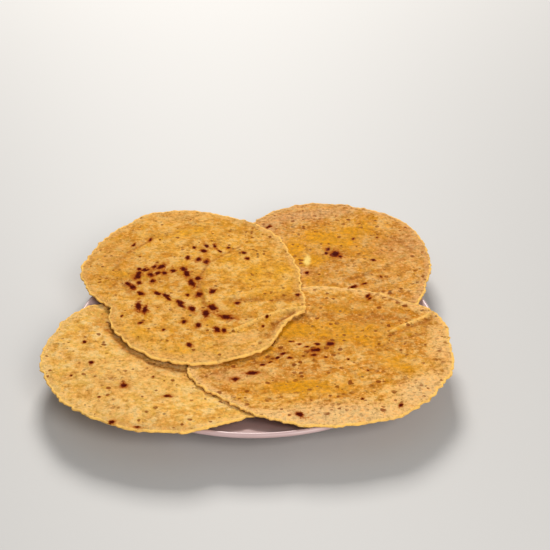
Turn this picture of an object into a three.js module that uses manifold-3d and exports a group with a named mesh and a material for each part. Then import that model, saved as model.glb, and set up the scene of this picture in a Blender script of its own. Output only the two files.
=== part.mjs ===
// Four soft corn tortillas laid over one another on a round glazed plate.
// Millimetres, +Z up. The plate stands on its foot ring at z = 0, and the whole
// group is moved at the end so that the origin is the middle of its footprint.

import * as THREE from "three";
import { mergeVertices } from "three/addons/utils/BufferGeometryUtils.js";
import Module from "manifold-3d";

const wasm = await Module();
wasm.setup();

// ---------------------------------------------------------------- plate sizes
const RIM_RADIUS = 124.6;
const RIM_HEIGHT = 21.5;
const LIP_RADIUS = 1.7; // half the thickness of the rounded lip
const WELL_RADIUS = 78; // flat middle, where the flange starts to climb
const WELL_HEIGHT = 7.2; // top of the well above the table
const FOOT_RADIUS = 66; // outer radius of the foot ring
const FOOT_WIDTH = 5;
const FOOT_HEIGHT = 2.6; // clear height under the middle of the plate
const PLATE_SECTORS = 64;

// ------------------------------------------------------------- tortilla sizes
const THICKNESS = 2.5; // in the middle of a tortilla
const EDGE_THICKNESS = 1.7; // pressed thinner at its edge
const EDGE_BAND = 14; // width of that thinner border
const GAP = 0.3; // clearance between pieces that touch
const CELL = 10.5; // pitch of the grid that every tortilla is draped on
const REACH = 150; // half of the grid's width
const GRID_SHIFT = 22; // the grid's middle is behind the plate's
const OUTLINE_POINTS = 64;
const SETTLE_PASSES = 40; // rounds of smoothing as a tortilla settles
const STIFFNESS = 0.9; // how far a node moves to its neighbours' mean, per pass
const PULL = 0.03; // how far it moves back to its own resting surface
const RIM_MARGIN = 9; // the lip holds a sheet up from this far inside it

const DEGREE = Math.PI / 180;

// A tortilla's outline is made of one or two rounds. Each is a circle with a
// slight oval and a few local swellings or dents: `oval` is [share of the radius,
// direction in degrees], and each of `swells` is [direction in degrees, height in
// mm, half width in degrees]. The tortilla rests on a surface `height` above the
// table at its first round's centre, which rises by `tilt` mm per mm towards +X
// and +Y and curls by `curl` mm at its edge.
const tortillas = [
  {
    name: "tortilla_left",
    rounds: [
      {
        centre: [-56, -41.5],
        radius: 83,
        oval: [0.01, 0],
        swells: [[232, -1.5, 22], [285, 2, 15], [162, 3, 22], [136, 6.5, 17], [20, 2, 30]],
      },
    ],
    height: 16.6,
    tilt: [-0.062, -0.05],
    curl: -1.2,
  },
  {
    name: "tortilla_back",
    rounds: [
      {
        centre: [50, 88],
        radius: 83,
        oval: [0.015, 90],
        swells: [[90, 4.5, 24], [45, 5.5, 24], [134, -5, 14], [316, 8, 13]],
      },
    ],
    height: 19.6,
    tilt: [0.012, 0.05],
    curl: 0.4,
  },
  {
    name: "tortilla_right",
    rounds: [
      {
        centre: [43, -35.5],
        radius: 86,
        oval: [0.008, 0],
        swells: [[195, 4, 12], [222, -2.5, 12], [304, 2.4, 14], [345, 1.5, 14], [26, 7, 15]],
      },
    ],
    height: 18.8,
    tilt: [0.055, -0.022],
    curl: -1.0,
  },
  // The top one was pinched as it was turned: its front third swells out from
  // two nicks in the edge.
  {
    name: "tortilla_top",
    rounds: [
      {
        centre: [-45, 70],
        radius: 84,
        oval: [0.05, 105],
        swells: [[107, 8.5, 22], [14, -4, 22], [325, 13, 10], [184, 3, 14], [224, -6, 10]],
      },
      {
        centre: [-36, 20],
        radius: 67,
        oval: [0, 0],
        swells: [[262, 5, 35], [336, -6, 18], [176, -3, 12]],
      },
    ],
    height: 23.6,
    tilt: [-0.012, 0.026],
    curl: -0.6,
  },
];

// --------------------------------------------------------------------- solids
function solidOf(geometry) {
  const bare = geometry.clone();
  bare.deleteAttribute("normal");
  bare.deleteAttribute("uv");
  const merged = mergeVertices(bare, 1e-4);
  return new wasm.Manifold(
    new wasm.Mesh({
      numProp: 3,
      vertProperties: new Float32Array(merged.attributes.position.array),
      triVerts: new Uint32Array(merged.index.array),
    }),
  );
}

function geometryOf(solid) {
  const mesh = solid.getMesh();
  const geometry = new THREE.BufferGeometry();
  geometry.setAttribute("position", new THREE.BufferAttribute(mesh.vertProperties, 3));
  geometry.setIndex(new THREE.BufferAttribute(mesh.triVerts, 1));
  geometry.computeVertexNormals();
  return geometry;
}

// ---------------------------------------------------------------------- plate
// Height of the plate's upper surface at a distance from its middle: a flat
// well and a flange that climbs ever more steeply to the lip.
function plateTop(r) {
  const s = THREE.MathUtils.clamp((r - WELL_RADIUS) / (RIM_RADIUS - WELL_RADIUS), 0, 1);
  return WELL_HEIGHT + (RIM_HEIGHT - WELL_HEIGHT) * s * (0.55 + 0.45 * s);
}

function plateGeometry() {
  const profile = [];
  const add = (r, z) => profile.push(new THREE.Vector2(r, z));
  const footInner = FOOT_RADIUS - FOOT_WIDTH;
  const body = 2 * LIP_RADIUS;
  add(0, FOOT_HEIGHT);
  add(footInner - 2, FOOT_HEIGHT);
  add(footInner, 0);
  add(FOOT_RADIUS, 0);
  add(FOOT_RADIUS + 2, WELL_HEIGHT - body);
  const flangeSteps = 5;
  const innerEdge = RIM_RADIUS - LIP_RADIUS;
  for (let i = 0; i < flangeSteps; i++) {
    const r = THREE.MathUtils.lerp(WELL_RADIUS + 4, innerEdge, i / flangeSteps);
    add(r, plateTop(r - 3) - body);
  }
  const lipHeight = RIM_HEIGHT - LIP_RADIUS;
  for (const angle of [-70, -25, 20, 65, 110]) {
    add(
      innerEdge + LIP_RADIUS * Math.cos(angle * DEGREE),
      lipHeight + LIP_RADIUS * Math.sin(angle * DEGREE),
    );
  }
  for (let i = flangeSteps; i >= 0; i--) {
    const r = THREE.MathUtils.lerp(WELL_RADIUS, innerEdge - LIP_RADIUS, i / flangeSteps);
    add(r, plateTop(r));
  }
  add(0, WELL_HEIGHT);
  const lathe = new THREE.LatheGeometry(profile, PLATE_SECTORS);
  lathe.rotateX(Math.PI / 2);
  return lathe;
}

// -------------------------------------------------------------------- outline
function angleBetween(a, b) {
  return THREE.MathUtils.euclideanModulo(a - b + 180, 360) - 180;
}

function roundRadius(round, degrees) {
  const [share, direction] = round.oval;
  let r = round.radius * (1 + share * Math.cos(2 * (degrees - direction) * DEGREE));
  for (const [at, size, width] of round.swells) {
    r += size * Math.exp(-((angleBetween(degrees, at) / width) ** 2));
  }
  return r;
}

// Distance from a point to a sheet's outline, along the ray from the centre of
// the round that holds it best. It is positive inside.
function insideBy(sheet, x, y) {
  const depths = sheet.rounds.map((round) => {
    const dx = x - round.centre[0];
    const dy = y - round.centre[1];
    return roundRadius(round, Math.atan2(dy, dx) / DEGREE) - Math.hypot(dx, dy);
  });
  return Math.max(...depths);
}

// A tall upright block with one round's outline.
function roundPrism(round) {
  const points = [];
  for (let i = 0; i < OUTLINE_POINTS; i++) {
    const degrees = (i * 360) / OUTLINE_POINTS;
    const r = roundRadius(round, degrees);
    points.push(
      new THREE.Vector2(
        round.centre[0] + r * Math.cos(degrees * DEGREE),
        round.centre[1] + r * Math.sin(degrees * DEGREE),
      ),
    );
  }
  const depth = 4 * RIM_HEIGHT;
  const prism = new THREE.ExtrudeGeometry(new THREE.Shape(points), {
    depth,
    bevelEnabled: false,
  });
  prism.translate(0, 0, -RIM_HEIGHT);
  return prism;
}

// -------------------------------------------------------------------- draping
// Every tortilla is worked out on one shared grid and cut into the same
// triangles, so where a node clears the piece below, the whole sheet does.
const columns = Math.ceil((2 * REACH) / CELL) + 1;
const nodeX = (i) => -REACH + i * CELL;
const nodeY = (j) => -REACH + GRID_SHIFT + j * CELL;
const nodeAt = (i, j) => j * columns + i;

function eachNode(visit) {
  for (let j = 0; j < columns; j++) {
    for (let i = 0; i < columns; i++) visit(i, j, nodeAt(i, j));
  }
}

// The surface that a tortilla would take with nothing under it.
function restingHeight(sheet, x, y) {
  const [{ centre, radius }] = sheet.rounds;
  const dx = x - centre[0];
  const dy = y - centre[1];
  const out = Math.hypot(dx, dy) / radius;
  return sheet.height + sheet.tilt[0] * dx + sheet.tilt[1] * dy + sheet.curl * out * out;
}

// The highest thing under each node: the plate, or a tortilla laid before.
function supportUnder(laid) {
  const support = new Float64Array(columns * columns).fill(-Infinity);
  const near = 1.6 * CELL; // a triangle that crosses an outline has a node this far off
  eachNode((i, j, n) => {
    const x = nodeX(i);
    const y = nodeY(j);
    const r = Math.hypot(x, y);
    if (r < RIM_RADIUS + near) support[n] = plateTop(r + RIM_MARGIN) + GAP;
    for (const below of laid) {
      if (insideBy(below.sheet, x, y) > -near) {
        support[n] = Math.max(support[n], below.top[n] + GAP);
      }
    }
  });
  return support;
}

// Lays a tortilla: it starts on its own resting surface, is lifted wherever
// something is under it, and smooths out with its neighbours' heights.
function lay(sheet, laid) {
  const support = supportUnder(laid);
  const rest = new Float64Array(columns * columns);
  eachNode((i, j, n) => {
    rest[n] = restingHeight(sheet, nodeX(i), nodeY(j));
  });
  let height = rest.map((z, n) => Math.max(z, support[n]));
  for (let pass = 0; pass < SETTLE_PASSES; pass++) {
    const next = height.slice();
    eachNode((i, j, n) => {
      const inner = i > 0 && j > 0 && i < columns - 1 && j < columns - 1;
      if (!inner) return;
      const mean =
        (height[nodeAt(i - 1, j)] + height[nodeAt(i + 1, j)] +
          height[nodeAt(i, j - 1)] + height[nodeAt(i, j + 1)]) / 4;
      const eased = THREE.MathUtils.lerp(height[n], mean, STIFFNESS);
      next[n] = Math.max(THREE.MathUtils.lerp(eased, rest[n], PULL), support[n]);
    });
    height = next;
  }
  const top = new Float64Array(columns * columns);
  eachNode((i, j, n) => {
    const inside = insideBy(sheet, nodeX(i), nodeY(j));
    const share = THREE.MathUtils.smoothstep(inside, -CELL, EDGE_BAND);
    top[n] = height[n] + THREE.MathUtils.lerp(EDGE_THICKNESS, THICKNESS, share);
  });
  return { sheet, bottom: height, top };
}

// The slab between a tortilla's two surfaces, over every cell that its outline
// touches, as one closed shell.
function slabGeometry({ sheet, bottom, top }) {
  const positions = [];
  const point = (i, j, z) => [nodeX(i), nodeY(j), z[nodeAt(i, j)]];
  const triangle = (...corners) => positions.push(...corners.flat());
  const needed = (i, j) =>
    i >= 0 && j >= 0 && i < columns - 1 && j < columns - 1 &&
    insideBy(sheet, nodeX(i + 0.5), nodeY(j + 0.5)) > -1.2 * CELL;
  const wall = (a, b) => {
    triangle(point(...a, bottom), point(...b, bottom), point(...b, top));
    triangle(point(...a, bottom), point(...b, top), point(...a, top));
  };
  for (let j = 0; j < columns - 1; j++) {
    for (let i = 0; i < columns - 1; i++) {
      if (!needed(i, j)) continue;
      const [a, b, c, d] = [[i, j], [i + 1, j], [i + 1, j + 1], [i, j + 1]];
      triangle(point(...a, top), point(...b, top), point(...c, top));
      triangle(point(...a, top), point(...c, top), point(...d, top));
      triangle(point(...a, bottom), point(...c, bottom), point(...b, bottom));
      triangle(point(...a, bottom), point(...d, bottom), point(...c, bottom));
      if (!needed(i, j - 1)) wall(a, b);
      if (!needed(i + 1, j)) wall(b, c);
      if (!needed(i, j + 1)) wall(c, d);
      if (!needed(i - 1, j)) wall(d, a);
    }
  }
  const slab = new THREE.BufferGeometry();
  slab.setAttribute("position", new THREE.Float32BufferAttribute(positions, 3));
  return slab;
}

// ------------------------------------------------------------------- assembly
const glazedCeramic = new THREE.MeshStandardMaterial({
  color: 0xe6d3cf,
  roughness: 0.25,
  metalness: 0,
});
const cornDough = new THREE.MeshStandardMaterial({
  color: 0xd9a441,
  roughness: 0.75,
  metalness: 0,
});

const stack = new THREE.Group();

function addPiece(name, geometry, material) {
  const mesh = new THREE.Mesh(geometry, material);
  mesh.name = name;
  stack.add(mesh);
}

addPiece("plate", plateGeometry(), glazedCeramic);

const laid = [];
for (const sheet of tortillas) {
  const sheetLaid = lay(sheet, laid);
  laid.push(sheetLaid);
  const outline = sheet.rounds
    .map((round) => solidOf(roundPrism(round)))
    .reduce((all, prism) => all.add(prism));
  const solid = solidOf(slabGeometry(sheetLaid)).intersect(outline);
  addPiece(sheet.name, geometryOf(solid), cornDough.clone());
}

// The origin is the middle of the footprint, at the foot of the plate.
const footprint = new THREE.Box3().setFromObject(stack);
const middle = footprint.getCenter(new THREE.Vector3());
stack.position.set(-middle.x, -middle.y, -footprint.min.z);

export default stack;
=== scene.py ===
# %% [markdown]
# # Corn tortillas heaped on a glazed plate
# Four soft corn tortillas lie over one another on a pale plate. The frame holds
# the plain solids: where each tortilla lies, how it bends over the ones below,
# and its outline. This lesson makes the fine pieces around them: thin sheets of
# dough with ragged edges, char spots, oily patches and flour, and a smooth
# glazed plate. Sizes here are in metres unless a name says mm.

# %% Frame and helpers
import math

import bpy
import numpy as np
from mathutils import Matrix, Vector, noise
from mathutils.bvhtree import BVHTree


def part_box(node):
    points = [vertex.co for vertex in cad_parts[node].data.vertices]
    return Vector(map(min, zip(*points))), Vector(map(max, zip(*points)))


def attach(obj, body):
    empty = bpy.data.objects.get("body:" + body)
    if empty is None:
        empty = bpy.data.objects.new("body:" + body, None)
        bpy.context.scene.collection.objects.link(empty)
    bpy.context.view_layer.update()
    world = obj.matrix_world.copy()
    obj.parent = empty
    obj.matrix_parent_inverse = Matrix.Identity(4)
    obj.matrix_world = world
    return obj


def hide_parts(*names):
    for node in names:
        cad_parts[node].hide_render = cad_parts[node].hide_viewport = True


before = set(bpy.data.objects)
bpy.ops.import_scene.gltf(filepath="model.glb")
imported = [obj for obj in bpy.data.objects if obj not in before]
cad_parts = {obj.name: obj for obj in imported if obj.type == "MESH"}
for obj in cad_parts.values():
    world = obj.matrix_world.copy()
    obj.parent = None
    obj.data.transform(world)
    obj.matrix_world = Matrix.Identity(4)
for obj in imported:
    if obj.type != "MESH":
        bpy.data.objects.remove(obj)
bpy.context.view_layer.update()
MM = 0.001

plate_low, plate_high = (np.array(corner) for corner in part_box("plate"))
PLATE_CENTRE = (plate_low + plate_high) / 2
PLATE_RADIUS = (plate_high[0] - plate_low[0]) / 2
RIM_HEIGHT = plate_high[2]


def deselect_all():
    if bpy.context.object and bpy.context.object.mode != "OBJECT":
        bpy.ops.object.mode_set(mode="OBJECT")
    bpy.ops.object.select_all(action="DESELECT")


def finish_piece(piece, name, node, material):
    """Names a piece, gives it its material, hangs it on the root body and hides the CAD solid it stands
    for.
    """
    piece.name = piece.data.name = name
    piece.data.materials.clear()
    piece.data.materials.append(material)
    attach(piece, "root")
    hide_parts(node)


print("plate radius", round(PLATE_RADIUS, 4), "rim height", round(float(RIM_HEIGHT), 4))

# %% [markdown]
# ## Camera and light
# The heap is looked down on at about thirty degrees from the front, from far
# enough away that it hardly narrows towards the back. One broad soft lamp hangs
# behind and above, so that the dough's grain throws small shadows and the front
# edges of the sheets catch light, and a second one fills in from the front.

# %% Camera
CAMERA_PLACE = Vector((0.0, -0.7197, 0.4723))  # from the plate's centre on the table
CAMERA_DOWN = math.radians(29.774)
CAMERA_TURN = math.radians(-1.051)
CAMERA_LENS = 80.86

camera_data = bpy.data.cameras.new("camera")
camera_data.sensor_width = 36
camera_data.lens = CAMERA_LENS
camera = bpy.data.objects.new("camera", camera_data)
camera.location = CAMERA_PLACE + Vector((PLATE_CENTRE[0], PLATE_CENTRE[1], 0))
camera.rotation_euler = (math.pi / 2 - CAMERA_DOWN, 0, CAMERA_TURN)
bpy.context.scene.collection.objects.link(camera)
bpy.context.scene.camera = camera
print("camera at", tuple(round(v, 3) for v in camera.location))

# %% [markdown]
# The floor is a plain pale plane. Area lamps are used and not a sky picture,
# because a square of light has a known size and place, and so the softness of
# its shadows can be set.

# %% Floor and lamps
FLOOR_SIZE = 6


def add_lamp(name, place, size, power, colour):
    """A square soft lamp that looks at the heap."""
    data = bpy.data.lights.new(name, "AREA")
    data.shape = "SQUARE"
    data.size = size
    data.energy = power
    data.color = colour
    lamp = bpy.data.objects.new(name, data)
    lamp.location = place
    lamp.rotation_euler = (-Vector(place)).to_track_quat("-Z", "Y").to_euler()
    bpy.context.scene.collection.objects.link(lamp)


deselect_all()
bpy.ops.mesh.primitive_plane_add(size=FLOOR_SIZE, location=(0, 0, 0))
floor = bpy.context.object
floor.name = "floor"
floor_finish = bpy.data.materials.new("pale_floor")
floor_finish.use_nodes = True
floor_shader = floor_finish.node_tree.nodes["Principled BSDF"]
floor_shader.inputs["Base Color"].default_value = (0.5, 0.49, 0.475, 1)
floor_shader.inputs["Roughness"].default_value = 0.6
floor.data.materials.append(floor_finish)

add_lamp("lamp_behind", (-0.1, 1.75, 1.4), 0.75, 50, (1, 0.97, 0.93))
add_lamp("lamp_front", (0.5, -1.15, 0.8), 0.7, 15, (1, 0.98, 0.95))
world = bpy.data.worlds.new("studio")
world.use_nodes = True
world.node_tree.nodes["Background"].inputs["Color"].default_value = (0.95, 0.97, 1, 1)
world.node_tree.nodes["Background"].inputs["Strength"].default_value = 0.3
bpy.context.scene.world = world
bpy.context.scene.view_settings.view_transform = "Standard"

# %% [markdown]
# ## A toolkit for node materials
# Every finish here is built from the same few nodes, so one short helper adds a
# node, sets its values and joins its inputs. Patterns read Object coordinates,
# which are metres in the frame, so a noise scale of 1000 has detail a
# millimetre across.

# %% Material helpers


class Finish:
    """A node material that is written as a few lines of calls."""

    def __init__(self, name):
        self.material = bpy.data.materials.new(name)
        self.material.use_nodes = True
        self.tree = self.material.node_tree
        self.shader = self.tree.nodes["Principled BSDF"]
        self.place = self.add("ShaderNodeTexCoord").outputs["Object"]

    def add(self, kind, inputs=None, **settings):
        node = self.tree.nodes.new(kind)
        for key, value in settings.items():
            setattr(node, key, value)
        for key, value in (inputs or {}).items():
            self.feed(node.inputs[key], value)
        return node

    def feed(self, socket, value):
        if isinstance(value, bpy.types.NodeSocket):
            self.tree.links.new(value, socket)
        else:
            socket.default_value = value

    def noise(self, size_mm, detail=3, rough=0.55, seed=0, stretch=(1, 1, 1)):
        """Noise from 0 to 1 whose blots are about size_mm across."""
        moved = self.add(
            "ShaderNodeMapping",
            {"Vector": self.place, "Location": (seed, seed * 0.7, 0), "Scale": stretch},
        )
        node = self.add(
            "ShaderNodeTexNoise",
            {
                "Vector": moved.outputs[0],
                "Scale": 1 / (size_mm * MM),
                "Detail": detail,
                "Roughness": rough,
            },
        )
        return node.outputs[0]

    def specks(self, pitch_mm, largest, seed=0, rough=None):
        """Specks about pitch_mm apart. Each has its own size, up to a share of the pitch."""
        moved = self.add(
            "ShaderNodeMapping", {"Vector": self.place, "Location": (seed, seed * 0.3, 0)}
        )
        node = self.add(
            "ShaderNodeTexVoronoi", {"Vector": moved.outputs[0], "Scale": 1 / (pitch_mm * MM)}
        )
        chance = self.add("ShaderNodeSeparateColor", {"Color": node.outputs["Color"]}).outputs[0]
        size = self.maths("MULTIPLY", self.maths("POWER", chance, 2.0), largest)
        away = node.outputs["Distance"]
        if rough is not None:
            away = self.maths("ADD", away, self.maths("MULTIPLY_ADD", rough, 0.5, -0.25))
        return self.step(self.maths("SUBTRACT", away, size), -0.04, 0.03, 1.0, 0.0)

    def field(self, name):
        """One of the piece's own painted fields, from 0 to 1."""
        return self.add("ShaderNodeAttribute", attribute_name=name).outputs["Fac"]

    def maths(self, operation, a, b=0.0, c=0.0):
        node = self.add("ShaderNodeMath", operation=operation)
        for socket, value in zip(node.inputs, (a, b, c)):
            self.feed(socket, value)
        return node.outputs[0]

    def step(self, value, low, high, to_low=0.0, to_high=1.0):
        """A smooth step from to_low to to_high as value goes from low to high."""
        node = self.add(
            "ShaderNodeMapRange",
            {
                "Value": value,
                "From Min": low,
                "From Max": high,
                "To Min": to_low,
                "To Max": to_high,
            },
            interpolation_type="SMOOTHSTEP",
        )
        return node.outputs[0]

    def mix(self, share, a, b, blend="MIX"):
        node = self.add("ShaderNodeMix", data_type="RGBA", blend_type=blend)
        colours = [s for s in node.inputs if s.type == "RGBA"]
        self.feed(node.inputs["Factor"], share)
        for socket, value in zip(colours, (a, b)):
            self.feed(socket, value)
        return next(s for s in node.outputs if s.type == "RGBA")

    def bump(self, height, distance_mm, strength=1.0, below=None):
        node = self.add(
            "ShaderNodeBump",
            {"Height": height, "Distance": distance_mm * MM, "Strength": strength},
        )
        if below is not None:
            self.feed(node.inputs["Normal"], below)
        return node.outputs[0]


def rgb(red, green, blue):
    """A colour as seen on screen, 0 to 255, as the linear colour that nodes take."""
    linear = [((v / 255 + 0.055) / 1.055) ** 2.4 if v > 10 else v / 3294 for v in (red, green, blue)]
    return (*linear, 1)


print("helpers ready")

# %% [markdown]
# ## The plate
# The plate is pale stoneware under a clear glaze with a faint pink cast. A
# potter throws it: the section is turned about the axis. It could be spun from
# a traced line. Here a circle at the foot ring is extruded ring by ring, each
# ring scaled to its new radius and lifted to its height, because the fan that
# closes the circle then closes the foot with no seam.

# %% Plate shape
PLATE_SEGMENTS = 192
LIP = 1.7 * MM
WELL_RADIUS, WELL_HEIGHT = 78 * MM, 7.2 * MM
FOOT_RADIUS, FOOT_WIDTH, FOOT_HEIGHT = 66 * MM, 5 * MM, 2.6 * MM


def plate_top(r):
    """Height of the glazed upper face at a distance from the middle."""
    s = min(max((r - WELL_RADIUS) / (PLATE_RADIUS - WELL_RADIUS), 0), 1)
    return WELL_HEIGHT + (RIM_HEIGHT - WELL_HEIGHT) * s * (0.55 + 0.45 * s)


def plate_section():
    """(radius, height) of each ring, from under the middle round to above it."""
    foot_inner = FOOT_RADIUS - FOOT_WIDTH
    rings = [(foot_inner - 2.5 * MM, FOOT_HEIGHT), (foot_inner - 1.2 * MM, FOOT_HEIGHT - 0.4 * MM)]
    rings += [(foot_inner, 0.4 * MM), (foot_inner + 0.5 * MM, 0)]
    rings += [(FOOT_RADIUS - 0.5 * MM, 0), (FOOT_RADIUS, 0.4 * MM), (FOOT_RADIUS + 2 * MM, 2.8 * MM)]
    edge = PLATE_RADIUS - LIP
    for step in range(9):
        r = WELL_RADIUS + 4 * MM + (edge - WELL_RADIUS - 4 * MM) * step / 9
        rings.append((r, plate_top(r - 3 * MM) - 2 * LIP))
    for degrees in range(-80, 111, 19):
        angle = math.radians(degrees)
        rings.append((edge + LIP * math.cos(angle), RIM_HEIGHT - LIP + LIP * math.sin(angle)))
    for step in range(10, -1, -1):
        r = WELL_RADIUS + (edge - LIP - WELL_RADIUS) * step / 10
        rings.append((r, plate_top(r)))
    rings += [(WELL_RADIUS * share, WELL_HEIGHT) for share in (0.9, 0.6, 0.3)]
    return rings


def grow_rings(rings, segments):
    """Extrudes a circle from ring to ring and closes both ends with a fan."""
    radius, height = rings[0]
    bpy.ops.mesh.primitive_circle_add(
        vertices=segments, radius=radius, location=(0, 0, height), fill_type="TRIFAN"
    )
    turned = bpy.context.object
    bpy.ops.object.transform_apply(location=True)
    bpy.ops.object.mode_set(mode="EDIT")
    bpy.ops.mesh.select_mode(type="EDGE")
    bpy.ops.mesh.select_all(action="DESELECT")
    bpy.ops.mesh.select_non_manifold()
    for r, z in rings[1:]:
        bpy.ops.mesh.extrude_edges_move(
            TRANSFORM_OT_translate={"value": (0, 0, z - height)}
        )
        bpy.ops.transform.resize(value=(r / radius, r / radius, 1), center_override=(0, 0, z))
        radius, height = r, z
    bpy.ops.mesh.edge_face_add()
    bpy.ops.mesh.poke()
    bpy.ops.mesh.select_all(action="SELECT")
    bpy.ops.mesh.normals_make_consistent(inside=False)
    bpy.ops.object.mode_set(mode="OBJECT")
    return turned


deselect_all()
plate = grow_rings(plate_section(), PLATE_SEGMENTS)
plate.location = (PLATE_CENTRE[0], PLATE_CENTRE[1], 0)
bpy.ops.object.transform_apply(location=True)
bpy.ops.object.shade_smooth_by_angle(angle=math.radians(50))
print("plate:", len(plate.data.polygons), "faces")

# %% [markdown]
# The glaze is pale with a warm pink cast, a shade deeper where it has pooled
# in the well, and it carries faint clouding. Its unglazed foot ring is
# matt and sandy. Kitchen glaze is glossy but never a perfect mirror, so the
# roughness wanders a little.

# %% Plate finish
glaze = Finish("glazed_stoneware")
clouding = glaze.noise(38, detail=4)
height_of = glaze.add("ShaderNodeSeparateXYZ", {"Vector": glaze.place}).outputs["Z"]
glaze_colour = glaze.mix(glaze.step(clouding, 0.35, 0.7), rgb(201, 173, 170), rgb(191, 161, 158))
pooled = glaze.step(height_of, 0.006, 0.016, 0.35, 0.0)
glaze_colour = glaze.mix(pooled, glaze_colour, rgb(205, 180, 178))
pinholes = glaze.maths("MULTIPLY", glaze.specks(3.4, 0.08), 0.3)
glaze_colour = glaze.mix(pinholes, glaze_colour, rgb(150, 120, 110))
bare_foot = glaze.step(height_of, 0.0003, 0.0007, 1.0, 0.0)
sandy = glaze.mix(glaze.noise(0.7, detail=2), rgb(214, 196, 176), rgb(186, 165, 144))
glaze.feed(glaze.shader.inputs["Base Color"], glaze.mix(bare_foot, glaze_colour, sandy))
glossy = glaze.step(glaze.noise(9, detail=3, seed=3), 0.3, 0.7, 0.34, 0.46)
glaze.feed(
    glaze.shader.inputs["Roughness"],
    glaze.maths("MAXIMUM", glossy, glaze.maths("MULTIPLY", bare_foot, 0.8)),
)
ripple = glaze.bump(glaze.noise(14, detail=2, seed=8), 0.25, 0.35)
glaze.feed(glaze.shader.inputs["Normal"], ripple)
glaze.shader.inputs["Coat Weight"].default_value = 0.08
glaze.shader.inputs["Coat Roughness"].default_value = 0.2
finish_piece(plate, "glazed_plate", "plate", glaze.material)
print("plate finish has", len(glaze.tree.nodes), "nodes")

# %% [markdown]
# ## A blank tortilla
# Pressed dough starts as a flat disc about two millimetres thick with a thin
# rounded edge. Its section is traced out point by point from one vertex, and
# spun once round. That gives rings close together at the rim, where the real
# edge is ragged. All four tortillas start as copies of this one blank.

# %% Blank
BLANK_SECTORS = 600
BLANK_THICKNESS = 2.2  # mm, in the middle
BLANK_EDGE = 1.5  # mm, just inside the rounded rim
TOP_RINGS, UNDER_RINGS, ROUND_STEPS = 84, 30, 5


def sheet_thickness(share):
    """Thickness in mm at a share of the radius: it thins over the last tenth."""
    t = min(max((share - 0.86) / 0.14, 0), 1)
    return BLANK_THICKNESS + (BLANK_EDGE - BLANK_THICKNESS) * t * t * (3 - 2 * t)


def blank_section():
    """Points (share of the radius, depth under the top face in mm)."""
    straight = 0.991
    section = [(straight * i / TOP_RINGS, 0) for i in range(TOP_RINGS + 1)]
    half = BLANK_EDGE / 2
    for i in range(1, 2 * ROUND_STEPS):
        angle = math.pi * i / (2 * ROUND_STEPS)
        section.append((straight + (1 - straight) * math.sin(angle), -half + half * math.cos(angle)))
    for i in range(UNDER_RINGS, -1, -1):
        share = straight * i / UNDER_RINGS
        section.append((share, -sheet_thickness(share)))
    return section


deselect_all()
bpy.ops.mesh.primitive_plane_add(size=1)
blank = bpy.context.object
bpy.ops.object.mode_set(mode="EDIT")
bpy.ops.mesh.select_mode(type="VERT")
bpy.ops.mesh.select_all(action="SELECT")
bpy.ops.mesh.merge(type="CENTER")
here = (0.0, 0.0)
for point in blank_section()[1:]:
    along, up = point[0] - here[0], (point[1] - here[1]) * MM
    bpy.ops.mesh.extrude_vertices_move(TRANSFORM_OT_translate={"value": (along, 0, up)})
    here = point
bpy.ops.mesh.select_all(action="SELECT")
bpy.ops.mesh.spin(
    steps=BLANK_SECTORS, angle=math.tau, center=(0, 0, 0), axis=(0, 0, 1), use_auto_merge=True
)
bpy.ops.mesh.select_all(action="SELECT")
bpy.ops.mesh.remove_doubles(threshold=1e-6)
bpy.ops.mesh.normals_make_consistent(inside=False)
bpy.ops.object.mode_set(mode="OBJECT")
blank.name = "tortilla_blank"
print("blank:", len(blank.data.vertices), "vertices")

# %% [markdown]
# ## Reading the frame
# Each plain solid says where its tortilla lies. Its outline is read from the
# points on its upright rim, and its lie from rays shot straight down onto its
# top. The solid has facets a centimetre across, so its heights are blurred into
# a smooth surface before the fine sheet is laid on it.

# %% Outline and lie
HEIGHT_PITCH = 2.5 * MM  # spacing of the rays
BLUR_ROUNDS = 14


def rim_of(node):
    """The middle of a node, and its outline as sorted angles and radii."""
    low, high = (np.array(corner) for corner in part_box(node))
    middle = (low + high) / 2
    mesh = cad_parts[node].data
    rim = [
        mesh.vertices[v].co
        for face in mesh.polygons
        if abs(face.normal.z) < 0.05
        for v in face.vertices
    ]
    angles = np.array([math.atan2(p.y - middle[1], p.x - middle[0]) for p in rim])
    radii = np.array([math.hypot(p.x - middle[0], p.y - middle[1]) for p in rim])
    order = np.argsort(angles)
    return middle, angles[order], radii[order]


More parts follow.
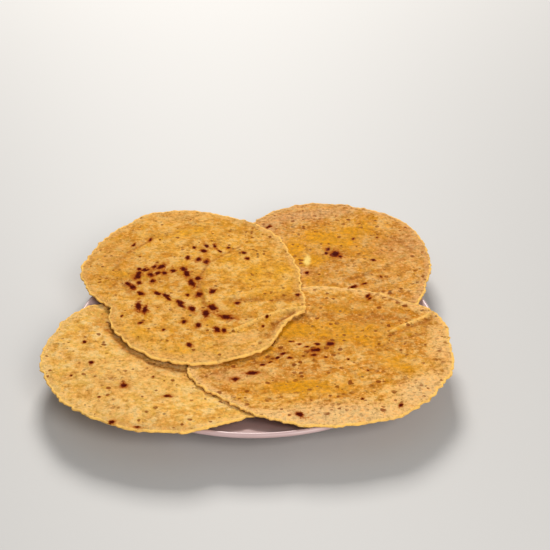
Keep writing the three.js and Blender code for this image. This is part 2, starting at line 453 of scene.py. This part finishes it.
def lie_of(node):
    """A function that gives the smooth height of a node's top face at x, y."""
    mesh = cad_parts[node].data
    tree = BVHTree.FromPolygons(
        [v.co for v in mesh.vertices], [p.vertices for p in mesh.polygons]
    )
    low, high = (np.array(corner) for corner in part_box(node))
    margin = 6 * HEIGHT_PITCH
    xs = np.arange(low[0] - margin, high[0] + margin, HEIGHT_PITCH)
    ys = np.arange(low[1] - margin, high[1] + margin, HEIGHT_PITCH)
    heights = np.full((len(xs), len(ys)), np.nan)
    for i, x in enumerate(xs):
        for j, y in enumerate(ys):
            hit = tree.ray_cast(Vector((x, y, 1)), Vector((0, 0, -1)))[0]
            if hit:
                heights[i, j] = hit.z
    while np.isnan(heights).any():
        around = np.stack([np.roll(heights, s, a) for s in (-1, 1) for a in (0, 1)])
        known = ~np.isnan(around)
        mean = np.where(known, around, 0).sum(0) / np.maximum(known.sum(0), 1)
        grow = np.isnan(heights) & known.any(0)
        heights[grow] = mean[grow]
    for _ in range(BLUR_ROUNDS):
        padded = np.pad(heights, 1, mode="edge")
        sides = padded[:-2, 1:-1] + padded[2:, 1:-1] + padded[1:-1, :-2] + padded[1:-1, 2:]
        heights = 0.5 * heights + 0.125 * sides

    def height_at(x, y):
        u = np.clip((x - xs[0]) / HEIGHT_PITCH, 0, len(xs) - 1.001)
        v = np.clip((y - ys[0]) / HEIGHT_PITCH, 0, len(ys) - 1.001)
        i, j = u.astype(int), v.astype(int)
        a, b = u - i, v - j
        front = heights[i, j] * (1 - a) + heights[i + 1, j] * a
        back = heights[i, j + 1] * (1 - a) + heights[i + 1, j + 1] * a
        return front * (1 - b) + back * b

    return height_at


for node in ("tortilla_left", "tortilla_top"):
    middle, _, radii = rim_of(node)
    print(node, "radius", round(radii.min() * 1000), "to", round(radii.max() * 1000), "mm")

# %% [markdown]
# ## What each tortilla carries
# Places are in millimetres from the plate's middle, +Y towards the back. The
# griddle scorches dough where a blister touches it, so char comes in short rows
# of dashes. A row is a path, how many dashes lie along it, their length and
# width, and the direction they point in degrees. Each dash strays a little and
# has its own size. Oily, toasted and floury patches are broad ovals: middle,
# half length, half width, direction, strength. A few toasted ovals on the left
# sheet are painted shadow under the front edge of the top sheet.

# %% Char
CHAR_ROWS = {
    "tortilla_top": [
        # two small arcs near the back, and a few strays beside them
        (((-46, 102), (-38, 96)), 2, 6, 4, -70),
        (((-36, 106), (-28, 104), (-26, 96)), 3, 6, 2.5, -70),
        (((-50, 86), (-36, 80)), 3, 5, 3.5, 80),
        (((-20, 101), (-8, 94), (-5, 84)), 3, 4, 3, -80),
        # the heavy cluster on the left
        (((-92, 50), (-86, 60), (-82, 68)), 4, 8, 4.5, 80),
        (((-79, 70), (-70, 78)), 3, 10, 4, 55),
        (((-86, 70), (-74, 60), (-66, 66)), 4, 6, 3.5, 80),
        (((-84, 50), (-74, 52)), 2, 4, 3, 80),
        (((-88, 44), (-80, 38)), 2, 6, 3.5, -75),
        # a hook in the middle
        (((-60, 70), (-52, 70)), 2, 6, 4.5, -75),
        (((-49, 64), (-47, 52)), 2, 10, 3.5, -85),
        (((-42, 56),), 1, 4, 3.5, 90),
        # the long slanted row towards the front
        (((-82, 22), (-74, 14)), 2, 11, 3.5, -78),
        (((-68, 36), (-56, 26), (-44, 16)), 6, 8, 4, -60),
        (((-48, 36), (-30, 40)), 3, 6, 3.5, 78),
        # the front cluster
        (((-30, 20), (-36, 10)), 2, 8, 4.5, -80),
        (((-21, 6),), 1, 9, 5, -30),
        (((-37, -4), (-27, -9), (-21, -11)), 3, 6, 3.5, -75),
        # lone dashes
        (((-11, 25),), 1, 5, 4, 70),
        (((30, 32),), 1, 4, 3, 90),
        (((8, 4), (6, -6)), 2, 4, 2.5, 80),
        (((-80, 116), (-92, 104)), 2, 5, 2, 60),
        (((-92, 6), (-78, -4), (-62, -10)), 3, 4, 2.5, 80),
        (((-50, 0), (-44, -27)), 2, 4, 3, -75),
    ],
    "tortilla_right": [
        (((41, -26), (49, -26)), 2, 5, 4.5, 10),
        (((39, -33),), 1, 7, 4, 5),
        (((24, -20), (34, -28)), 3, 4, 2.5, 0),
        (((24, -40), (46, -40)), 4, 3.5, 2.5, 0),
        (((-12, -65),), 1, 6, 4.5, 20),
        (((-2, -58),), 1, 7, 4, 20),
        (((4, -48), (18, -36)), 4, 4, 2.5, 40),
        (((26, -107),), 1, 7, 4, -65),
        (((90, -100),), 1, 4, 3, 90),
        (((68, 45), (80, 34), (80, 29)), 3, 5, 2.5, 70),
        (((60, -46), (72, -60), (66, -92)), 3, 2.5, 2.2, 90),
    ],
    "tortilla_back": [
        (((60, 96),), 1, 8, 6, -60),
        (((52, 96), (55, 103), (64, 92)), 3, 5, 3.5, 80),
        (((10, 138),), 1, 6, 3.5, 55),
        (((70, 50), (80, 52)), 2, 5, 2.5, 30),
        (((95, 120), (75, 118), (88, 84)), 3, 3.5, 2.5, 60),
        (((38, 70), (92, 60)), 2, 3, 2, -90),
    ],
    "tortilla_left": [
        (((-86, -72),), 1, 5, 4, 90),
        (((-55, -84),), 1, 6, 3.5, 0),
        (((-114, -26), (-107, -48)), 2, 4, 3, 90),
        (((-88, -113), (-72, -119)), 2, 3.5, 3, 0),
        (((-98, -88), (-66, -62), (-118, -64)), 3, 2.4, 2, 90),
    ],
}
CHAR_STRAY, CHAR_TURN = 0.18, 12  # share of a dash's length, degrees


def dashes_of(rows, seed):
    """Dashes (x, y, length, width, degrees) spread evenly along each row's path."""
    chance = np.random.default_rng(seed)
    dashes = []
    for path, count, length, width, degrees in rows:
        corners = np.array(path, float)
        stations = np.linspace(0, len(corners) - 1, count)
        for station in stations:
            x, y = (np.interp(station, range(len(corners)), corners[:, k]) for k in (0, 1))
            x, y = chance.normal((x, y), CHAR_STRAY * length)
            size = chance.uniform(0.6, 1.2)
            turned = degrees + chance.normal(0, CHAR_TURN)
            dashes.append((x, y, length * size, width * size, turned))
    return dashes


CHAR = {node: dashes_of(rows, seed) for seed, (node, rows) in enumerate(CHAR_ROWS.items())}
print({node: len(dashes) for node, dashes in CHAR.items()}, "char dashes")

# %% [markdown]
# The broad patches could be painted with a brush on each sheet. Ovals are named
# by their places instead, so that one can be moved or made weaker by a number.

# %% Patches
OIL = {
    "tortilla_back": [
        (60, 120, 40, 18, 20, 1.0), (30, 105, 25, 12, 50, 0.9), (42, 88, 16, 10, 10, 0.8),
        (88, 92, 30, 14, -60, 0.45), (40, 60, 20, 10, 0, 0.4),
    ],
    "tortilla_right": [
        (38, -8, 60, 12, -5, 0.8), (30, -76, 32, 9, -5, 0.95), (95, -54, 20, 9, -40, 1.0),
        (72, -20, 34, 12, 10, 0.55), (0, -30, 24, 10, 30, 0.6), (60, 18, 30, 8, -10, 0.5),
    ],
    "tortilla_top": [
        (0, 70, 35, 20, -60, 0.5), (20, 65, 20, 10, -70, 0.65), (-50, 125, 35, 10, 10, 0.5),
        (-100, 65, 15, 8, -30, 0.45), (-85, 100, 15, 5, 40, 0.4), (5, 35, 25, 8, 0, 0.35),
        (-80, -15, 20, 8, -45, 0.55), (-45, -35, 30, 8, -5, 0.5), (15, 40, 15, 5, 0, 0.5),
    ],
    "tortilla_left": [(-60, -75, 25, 12, 0, 0.25), (-100, -50, 25, 14, 60, 0.2)],
}
TOAST_AND_SHADOW = {
    "tortilla_back": [
        (100, 106, 24, 18, 0, 0.5), (18, 128, 20, 9, 30, 0.5), (50, 70, 26, 14, 0, 0.4),
    ],
    "tortilla_right": [
        (20, -60, 38, 14, 0, 0.5), (50, -30, 40, 14, 0, 0.45), (-22, -62, 18, 10, -40, 0.5),
        (84, 4, 30, 17, -8, 1.0), (100, -12, 18, 12, 0, 0.7), (62, 22, 42, 10, -8, 0.6),
    ],
    "tortilla_top": [
        (-65, 55, 35, 25, 0, 0.4), (-20, 10, 35, 12, 0, 0.4), (10, 28, 30, 4, 0, 0.6),
        (12, -5, 15, 5, 60, 0.6), (-95, 10, 15, 8, -70, 0.4), (-100, 80, 30, 45, 0, 0.5),
        (-40, 130, 60, 15, 5, 0.35),
    ],
    "tortilla_left": [
        (-86, -113, 9, 5, -20, 0.7), (-70, -118, 9, 4, -5, 0.8), (-50, -120, 9, 4, 10, 0.8),
        # the last three: painted shadow under the top sheet's front edge, mixed with toasting
        (-104, 4, 16, 7, -60, 0.9), (-88, -26, 18, 5, -50, 0.7), (-58, -52, 20, 4, -25, 0.5),
    ],
}
FLOUR = {
    "tortilla_back": [
        (40, 156, 56, 12, 10, 0.7), (118, 110, 12, 34, 0, 0.5), (26, 70, 13, 15, 0, 1.3),
        (106, 98, 24, 34, 0, 0.4), (2, 132, 26, 12, 40, 0.9),
    ],
    "tortilla_right": [
        (38, -112, 74, 16, 4, 1.0), (104, -84, 28, 15, 48, 0.9), (122, -30, 9, 40, 0, 0.6),
        (-14, -62, 30, 12, 0, 0.55),
    ],
    "tortilla_top": [
        (-60, 150, 50, 12, 10, 0.5), (-110, 90, 15, 40, -10, 0.4), (20, 110, 12, 40, 30, 0.5),
        (-55, 15, 40, 12, -10, 0.35), (-35, -40, 50, 12, 0, 0.6), (-85, -20, 12, 30, 30, 0.5),
        (-10, -20, 20, 8, 20, 0.7),
    ],
    "tortilla_left": [(-80, -60, 70, 50, 0, 0.45), (-90, -100, 50, 14, -20, 0.5)],
}
# a fleck of butter on the back sheet, painted pale cream as a glint
BUTTER_AND_GLINT = {"tortilla_back": [(39, 88, 7.5, 2.6, 85, 1.0)]}
print(sum(len(patches) for kind in (OIL, TOAST_AND_SHADOW, FLOUR) for patches in kind.values()), "patches")

# %% [markdown]
# Creases are paths: the points along each, its half width, how far it lifts the
# top face (or sinks it, below nought), and how much painted shade darkens it
# (or painted highlight lightens it, below nought).

# %% Creases
CREASES = {
    "tortilla_top": [
        # the fold that runs in from the pinched tip, with a painted highlight along its ridge, and the
        # hollow in front of it, with painted shade
        (((38, 18), (22, 14), (8, 6), (-15, -10)), 1.6, 1.7, -1),
        (((26, 12), (12, -4)), 1.3, -1.2, 1),
        (((14, -2), (8, -18)), 1.8, -1.0, 0.6),
        (((-15, 28), (30, 28)), 2.6, -0.4, 0.6),
        # the rim of a broad blister, and lines that run round near the edge, most of them darkened with
        # painted shade
        (((-10, 105), (-34, 80), (-42, 55), (-35, 20)), 1.4, -0.4, 0.7),
        (((-96, 95), (-74, 120)), 1.6, -0.3, 0.8),
        (((-100, 45), (-102, 80), (-82, 118), (-58, 128)), 2.4, -0.45, 0.4),
        (((-100, 35), (-84, 0), (-55, -30)), 4.0, 0.4, 0),
        (((-112, 60), (-98, 55), (-88, 35)), 2.0, -0.3, 0.55),
    ],
    "tortilla_right": [
        (((92, -14), (120, 6)), 1.5, 0.7, -1),
        (((90, -19), (121, 1)), 1.8, -0.5, 0.8),
        (((80, -32), (113, -18)), 1.6, -0.4, 0.65),
        (((-30, -58), (4, -44), (16, -30)), 2.5, -0.4, 0.65),
        (((20, 6), (60, 15), (100, 2)), 3.0, -0.35, 0.5),
        (((-14, -50), (15, -26), (22, -9)), 2.0, 0, 0.5),
    ],
    "tortilla_back": [
        (((86, 132), (104, 120), (118, 102)), 2.0, -0.4, 0.55),
        (((70, 60), (92, 70), (110, 86)), 2.0, -0.35, 0.5),
        (((14, 100), (22, 84), (24, 66)), 2.0, -0.3, 0.5),
    ],
    "tortilla_left": [
        # a painted shadow: a dark line on this sheet along the front edge of the sheet that lies on it
        (((-101, -5), (-86, -31), (-67, -47), (-46, -54), (-24, -53)), 1.8, 0, 0.65),
        (((-128, -36), (-100, -66), (-60, -88)), 4.0, -0.4, 0.2),
        (((-20, -84), (-54, -104)), 2.4, 0.4, 0),
    ],
}
print({node: len(paths) for node, paths in CREASES.items()}, "creases")

# %% [markdown]
# ## Laying the sheets
# A copy of the blank is stretched to the outline, its rim is roughened by noise
# of four sizes, and it is laid on the smooth surface. Baked dough is never quite
# flat: broad swells, small blisters and a fine grain are added as real height,
# so that they show in the mesh from every side. The painted fields are stored
# on the same points, and the finish reads them.

# %% Sheet tools


def along_and_across(points, x, y, degrees):
    """Each point's offsets from x, y along a direction and square to it."""
    angle = math.radians(degrees)
    dx, dy = points[:, 0] - x, points[:, 1] - y
    return (
        dx * math.cos(angle) + dy * math.sin(angle),
        dy * math.cos(angle) - dx * math.sin(angle),
    )


def oval_field(points, spots):
    """The strongest of several soft ovals at each point, from 0 to 1."""
    field = np.zeros(len(points))
    for x, y, half_length, half_width, degrees, strength in spots:
        along, across = along_and_across(points, x, y, degrees)
        reach = (along / half_length) ** 2 + (across / half_width) ** 2
        field = np.maximum(field, strength * np.exp(-reach))
    return field


def char_field(points, dashes):
    """1 in the middle of a dash, 0.5 at its rim, fading out beyond it."""
    field = np.zeros(len(points))
    for x, y, length, width, degrees in dashes:
        along, across = along_and_across(points, x, y, degrees)
        reach = (2 * along / length) ** 2 + (2 * across / width) ** 2
        field = np.maximum(field, 1 / (1 + reach))
    return field


def crease_fields(points, creases):
    """The lift in mm and the painted shade, 1 dark to -1 light (a painted highlight), that creases give
    each point.
    """
    lift, shade = np.zeros(len(points)), np.zeros(len(points))
    for path, half_width, height, dark in creases:
        nearest = np.full(len(points), np.inf)
        for start, end in zip(path, path[1:]):
            start, run = np.array(start), np.subtract(end, start)
            share = np.clip((points - start) @ run / (run @ run), 0, 1)
            gap = points - start - share[:, None] * run
            nearest = np.minimum(nearest, np.hypot(gap[:, 0], gap[:, 1]))
        profile = np.exp(-((nearest / half_width) ** 2))
        lift += height * profile
        tone = dark * profile
        shade = np.where(np.abs(tone) > np.abs(shade), tone, shade)
    return lift, shade


def smooth_noise(points, size_mm, seed):
    """Smooth noise from -1 to 1 at each point (mm), with swells size_mm apart."""
    shift = Vector((seed * 37.1, seed * 11.3, seed * 5.7))
    return np.array([noise.noise(Vector((x, y, 0)) / size_mm + shift) for x, y in points])


RAGGED = ((24, 1.2), (9, 1.1), (4.5, 1.3), (2.6, 1.0))  # size of each wave and its height, mm


def ragged(angles, radii, seed):
    """Mm to add to the outline at each angle: noise read round the rim itself."""
    x, y = radii * np.cos(angles), radii * np.sin(angles)
    rim = np.stack([x, y], 1) / MM
    total = np.zeros(len(angles))
    for size_mm, height in RAGGED:
        total += height * smooth_noise(rim, size_mm, seed + size_mm)
    return total


def store(mesh, name, values):
    layer = mesh.attributes.new(name, "FLOAT", "POINT")
    layer.data.foreach_set("value", np.ascontiguousarray(values, dtype=np.float32))


print("sheet tools ready")

# %% [markdown]
# A cloth simulation could lay the sheets too, but then they would leave the
# places that the frame gives them. Setting each point's height from the smooth
# surface keeps them there. The broad swell is the same for all four, because
# each tortilla takes the shape of the one it lies on.

# %% Lay the tortillas
GAP_TRIM = 0.5  # mm taken off the outline so that its ragged rim stays near the solid's
# each relief: its height and how far apart its swells are, in mm
SWELL, SWELL_PITCH = 0.8, 26
RIM_WAVE, RIM_WAVE_PITCH = 0.35, 9
BLISTER, BLISTER_PITCH = 0.4, 6.5
GRAIN, GRAIN_PITCH = 0.15, 2.4
sheets = {}


def lay_sheet(node, seed):
    piece = blank.copy()
    piece.data = blank.data.copy()
    bpy.context.scene.collection.objects.link(piece)
    mesh = piece.data
    co = np.empty(len(mesh.vertices) * 3)
    mesh.vertices.foreach_get("co", co)
    co = co.reshape(-1, 3)
    middle, rim_angles, rim_radii = rim_of(node)
    angles = np.arctan2(co[:, 1], co[:, 0])
    share = np.hypot(co[:, 0], co[:, 1])
    outline = np.interp(angles, rim_angles, rim_radii, period=math.tau)
    near_rim = np.clip((share - 0.9) / 0.1, 0, 1)
    reach = share * outline + (ragged(angles, outline, seed) - GAP_TRIM) * MM * near_rim
    x = middle[0] + reach * np.cos(angles)
    y = middle[1] + reach * np.sin(angles)
    points = np.stack([x - PLATE_CENTRE[0], y - PLATE_CENTRE[1]], 1) / MM
    top = co[:, 2] > -0.6 * BLANK_EDGE * MM
    lift = SWELL * smooth_noise(points, SWELL_PITCH, 0)
    rim_wave = RIM_WAVE * smooth_noise(points, RIM_WAVE_PITCH, seed + 20)
    lift += rim_wave * np.clip((share - 0.8) / 0.2, 0, 1)
    creases, shade = crease_fields(points[top], CREASES[node])
    lift[top] += BLISTER * smooth_noise(points[top], BLISTER_PITCH, seed + 40) + creases
    lift[top] += GRAIN * smooth_noise(points[top], GRAIN_PITCH, seed + 80)
    z = lie_of(node)(x, y) + co[:, 2] + lift * MM
    mesh.vertices.foreach_set("co", np.stack([x, y, z], 1).ravel())
    painted = {
        "char": char_field(points[top], CHAR[node]),
        "oil": oval_field(points[top], OIL[node]),
        "toast_and_shadow": oval_field(points[top], TOAST_AND_SHADOW[node]),
        "flour": oval_field(points[top], FLOUR[node]),
        "butter_and_glint": oval_field(points[top], BUTTER_AND_GLINT.get(node, [])),
        # painted shade along creases and painted highlight along ridges
        "crease_shade_and_highlight": shade,
    }
    for name, values in painted.items():
        field = np.zeros(len(points))
        field[top] = values
        store(mesh, name, field)
    store(mesh, "rim", share)
    mesh.update()
    for face in mesh.polygons:
        face.use_smooth = True
    sheets[node] = piece
    print(node, "laid:", len(mesh.polygons), "faces")


for seed, node in enumerate(CHAR, start=1):
    lay_sheet(node, seed)
bpy.data.objects.remove(blank)

# %% [markdown]
# ## The finish of toasted corn dough
# Corn dough is golden, but never one gold: it is mottled with paler floury
# bloom and deeper ochre, and sown with specks of dark bran. Where fat soaked in
# it turns a clear amber and shines. Char is crisp-edged and dark brown, with a
# rusty halo. One function makes the finish, and each tortilla gives its tones.
# An image could carry all this, but nodes keep their detail at any distance.

# %% Dough finish


def dough_finish(name, seed, gold, ochre, pale, amber, flour, specks=1.0, grit=1.0):
    dough = Finish(name)
    broad = dough.noise(24, detail=4, rough=0.6, seed=seed)
    mottle = dough.noise(8, detail=5, rough=0.62, seed=seed + 1)
    fine = dough.noise(3.2, detail=4, rough=0.68, seed=seed + 2)
    grain = dough.noise(2.2, detail=3, rough=0.7, seed=seed + 3)
    rim = dough.field("rim")

    def spread(value, amount):
        """Noise about a half, as a push up or down from nought."""
        return dough.maths("MULTIPLY", dough.maths("SUBTRACT", value, 0.5), amount)

    def scaled(value, amount):
        return dough.maths("MULTIPLY", value, amount)

    # mottling
    colour = dough.mix(dough.step(broad, 0.4, 0.62), gold, ochre)
    colour = dough.mix(dough.step(mottle, 0.46, 0.62, 0, 0.85), colour, pale)
    colour = dough.mix(dough.step(mottle, 0.36, 0.46, 0.8, 0), colour, ochre)
    streaks = dough.noise(8, detail=3, seed=seed + 4, stretch=(1, 0.6, 1))
    colour = dough.mix(dough.step(streaks, 0.52, 0.7, 0, 0.6), colour, amber)

    # flour, on the rim band and where it was painted
    band = dough.step(rim, 0.86, 0.98, 0, 0.6)
    bloom = dough.maths("ADD", dough.maths("MAXIMUM", dough.field("flour"), band), spread(fine, 1.4))
    bloom = dough.step(bloom, 0.12, 0.8, 0, 0.8)
    colour = dough.mix(bloom, colour, flour)

    # toasting, and painted shadow where the top sheet's front edge overhangs the left sheet
    toast_and_shadow = dough.maths("MULTIPLY", dough.field("toast_and_shadow"), dough.step(fine, 0.36, 0.6))
    colour = dough.mix(scaled(toast_and_shadow, 0.8), colour, rgb(168, 98, 36))
    # painted shade in the creases, and a painted highlight along the ridges
    crease_shade_and_highlight = dough.field("crease_shade_and_highlight")
    colour = dough.mix(dough.maths("MAXIMUM", crease_shade_and_highlight, 0), colour, rgb(156, 88, 28))
    colour = dough.mix(dough.maths("MAXIMUM", scaled(crease_shade_and_highlight, -1), 0), colour, rgb(244, 194, 104))

    # grit: the grains of the ground corn, some darker and some paler
    colour = dough.mix(dough.step(fine, 0.48, 0.68, 0, 0.55), colour, ochre)
    colour = dough.mix(dough.step(grain, 0.3, 0.46, 0.6 * grit, 0), colour, rgb(170, 102, 30))
    colour = dough.mix(dough.step(grain, 0.53, 0.7, 0, 0.55 * grit), colour, pale)

    # fat soaked in
    soaked = scaled(dough.field("oil"), dough.step(broad, 0.3, 0.6, 0.6, 1.15))
    soaked = dough.maths("ADD", soaked, dough.maths("ADD", spread(mottle, 1.6), spread(broad, 1.2)))
    soaked = dough.step(soaked, 0.05, 0.95)
    colour = dough.mix(scaled(soaked, 0.94), colour, amber)
    value = dough.maths("ADD", 0.99, spread(fine, 1.4 + 0.4 * grit))
    value = dough.maths("ADD", value, spread(grain, 0.4))
    colour = dough.mix(1.0, colour, value, blend="MULTIPLY")

    # bran and husk
    bran = dough.specks(4.4, 0.2 + 0.18 * specks, seed, rough=fine)
    bran = dough.maths("MULTIPLY", bran, dough.step(dough.noise(13, seed=seed + 5), 0.4, 0.58, 0.25, 1))
    colour = dough.mix(scaled(bran, 0.85), colour, rgb(124, 56, 12))
    husk = dough.specks(9.5, 0.14, seed + 9)
    colour = dough.mix(scaled(husk, 0.7), colour, rgb(104, 74, 50))

    # a painted highlight along the lit edge, broken up by noise
    edge_highlight_strength = dough.step(dough.noise(7, detail=3, seed=seed + 6), 0.34, 0.58, 0.45, 0.95)
    edge = scaled(dough.step(dough.maths("ADD", rim, spread(fine, 0.03)), 0.972, 0.992), edge_highlight_strength)
    colour = dough.mix(edge, colour, rgb(250, 198, 102))

    # char, with a rusty halo
    char = dough.maths("ADD", dough.field("char"), spread(fine, 1.2))
    char = dough.maths("ADD", char, spread(grain, 0.35))
    colour = dough.mix(dough.step(char, 0.2, 0.44, 0, 0.75), colour, rgb(160, 78, 14))
    scorched = dough.step(char, 0.44, 0.53)
    colour = dough.mix(scorched, colour, rgb(126, 46, 0))
    colour = dough.mix(dough.step(char, 0.54, 0.76), colour, rgb(72, 10, 0))

    # a fleck of butter with a painted glint: pale cream colour, and lower roughness
    butter_and_glint = dough.step(dough.maths("ADD", dough.field("butter_and_glint"), spread(fine, 0.7)), 0.1, 0.8)
    colour = dough.mix(scaled(butter_and_glint, 0.85), colour, rgb(246, 214, 122))
    dough.feed(dough.shader.inputs["Base Color"], colour)

    dry = dough.step(fine, 0.3, 0.7, 0.78, 0.94)
    wet = dough.maths("MAXIMUM", scaled(soaked, 0.4), scaled(butter_and_glint, 0.5))
    dough.feed(dough.shader.inputs["Roughness"], dough.maths("SUBTRACT", dry, wet))

    waves = dough.bump(mottle, 1.8, 0.9)
    lumps = dough.bump(fine, 1.2, 1.0, below=waves)
    grains = dough.bump(grain, 0.45, 0.9, below=lumps)
    pits = dough.bump(dough.maths("SUBTRACT", 1.0, scorched), 0.25, 0.5, below=grains)
    dough.feed(dough.shader.inputs["Normal"], pits)
    dough.shader.inputs["Specular IOR Level"].default_value = 0.025
    dough.shader.inputs["Subsurface Weight"].default_value = 0.06
    dough.shader.inputs["Subsurface Radius"].default_value = (0.0014, 0.0009, 0.0003)
    dough.shader.inputs["Subsurface Scale"].default_value = 1.0
    return dough.material


TONES = {
    "tortilla_left": dict(
        gold=rgb(226, 176, 84), ochre=rgb(208, 146, 60), pale=rgb(240, 202, 132), amber=rgb(222, 166, 56),
        flour=rgb(222, 178, 112), grit=0.5,
    ),
    "tortilla_back": dict(
        gold=rgb(212, 153, 68), ochre=rgb(190, 123, 44), pale=rgb(226, 180, 114), amber=rgb(208, 140, 0),
        flour=rgb(206, 156, 106), specks=1.3, grit=1.2,
    ),
    "tortilla_right": dict(
        gold=rgb(216, 156, 64), ochre=rgb(190, 120, 34), pale=rgb(234, 188, 114), amber=rgb(206, 138, 0),
        flour=rgb(232, 190, 128), specks=1.5, grit=1.1,
    ),
    "tortilla_top": dict(
        gold=rgb(222, 163, 66), ochre=rgb(198, 133, 43), pale=rgb(234, 188, 112), amber=rgb(214, 150, 18),
        flour=rgb(216, 166, 100), specks=0.8, grit=0.8,
    ),
}
for seed, (node, tones) in enumerate(TONES.items()):
    material = dough_finish("dough_" + node.split("_")[1], seed * 0.37, **tones)
    finish_piece(sheets[node], node + "_baked", node, material)
print("dough finishes:", len(TONES))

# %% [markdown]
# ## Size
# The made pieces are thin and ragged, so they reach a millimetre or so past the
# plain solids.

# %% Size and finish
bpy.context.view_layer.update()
